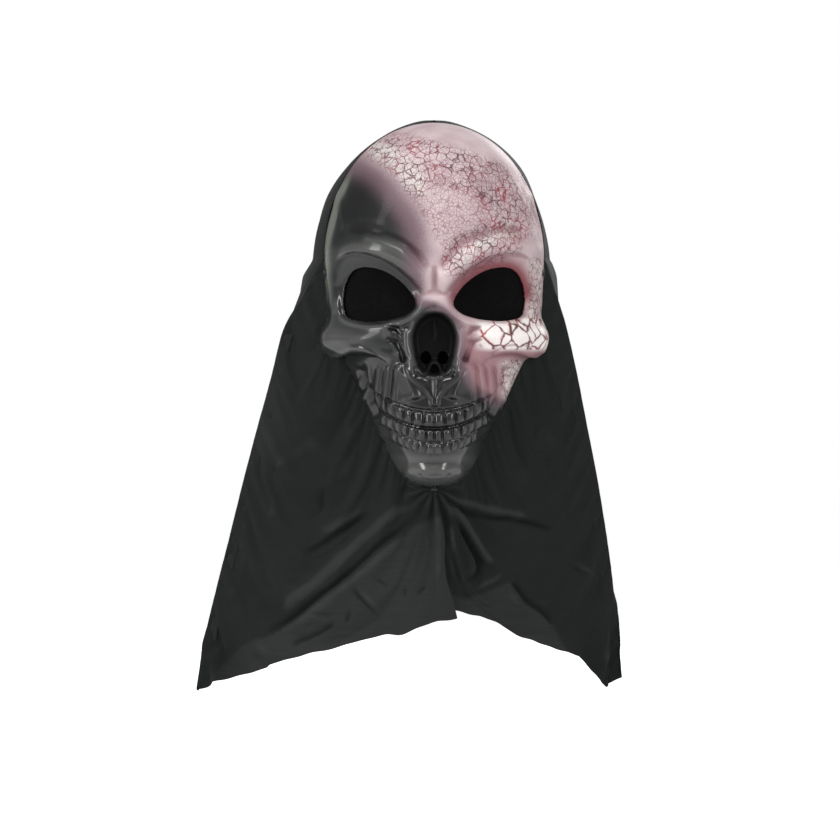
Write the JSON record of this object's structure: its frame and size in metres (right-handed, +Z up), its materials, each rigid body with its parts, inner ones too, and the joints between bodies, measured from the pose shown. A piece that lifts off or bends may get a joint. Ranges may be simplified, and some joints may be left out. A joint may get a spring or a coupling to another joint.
{
  "type": "latex halloween mask",
  "caption": "Full-head skull face mask: glossy cracked-paint bone face with open eye sockets and bared teeth, closed behind by a loose black cloth hood split under the chin.",
  "frame": {"origin": "between the eye openings, in the flat plane of the face shell's upper rim", "axes": "+X is right as seen from the front, +Y points to the back of the head, +Z is up; the face looks along -Y"},
  "size_m": [0.3327, 0.2092, 0.4423],
  "materials": {
    "painted_face": "gloss paint: dark metal grey on one side, cracked white over pink on the other",
    "black_mesh": "fine open weave",
    "binding_tape": "matt ribbed tape",
    "hood_cloth": "thin plain weave, half see-through",
    "thread": "wound thread",
    "strap_elastic": "ribbed elastic",
    "rivet_metal": "blackened",
    "washer_plastic": "matt",
    "label_cloth": "blank satin tape"
  },
  "bodies": {
    "mask": {"skull_shell": "painted_face", "left_eye_mesh": "black_mesh", "right_eye_mesh": "black_mesh", "nose_mesh": "black_mesh", "crown_binding": "binding_tape", "left_jaw_binding": "binding_tape", "right_jaw_binding": "binding_tape", "hood_back_left": "hood_cloth", "hood_back_right": "hood_cloth", "hood_front_left": "hood_cloth", "hood_front_right": "hood_cloth", "left_side_seam": "hood_cloth", "right_side_seam": "hood_cloth", "centre_seam_tape": "binding_tape", "chin_tack": "thread", "left_strap_rivet": "rivet_metal", "right_strap_rivet": "rivet_metal", "left_strap_washer": "washer_plastic", "right_strap_washer": "washer_plastic"},
    "left_flap": {"left_front_flap": "hood_cloth"},
    "right_flap": {"right_front_flap": "hood_cloth"},
    "head_strap": {"head_strap": "strap_elastic"},
    "care_label": {"care_label": "label_cloth"}
  },
  "joints": [
    {"name": "left_flap_fold", "type": "hinge", "parent": "mask", "child": "left_flap", "pos_m": [0, -0.038, -0.149], "axis": [-0.727, 0.3199, -0.6076], "range_deg": [0, 110]},
    {"name": "right_flap_fold", "type": "hinge", "parent": "mask", "child": "right_flap", "pos_m": [0, -0.038, -0.149], "axis": [-0.6325, -0.2783, 0.7228], "range_deg": [-25, 110]},
    {"name": "strap_tilt", "type": "hinge", "parent": "mask", "child": "head_strap", "pos_m": [0, -0.014, 0.02], "axis": [1, 0, 0], "range_deg": [-20, 20]},
    {"name": "label_swing", "type": "hinge", "parent": "mask", "child": "care_label", "pos_m": [0, 0.1161, -0.15], "axis": [-1, 0, 0], "range_deg": [0, 120]}
  ]
}
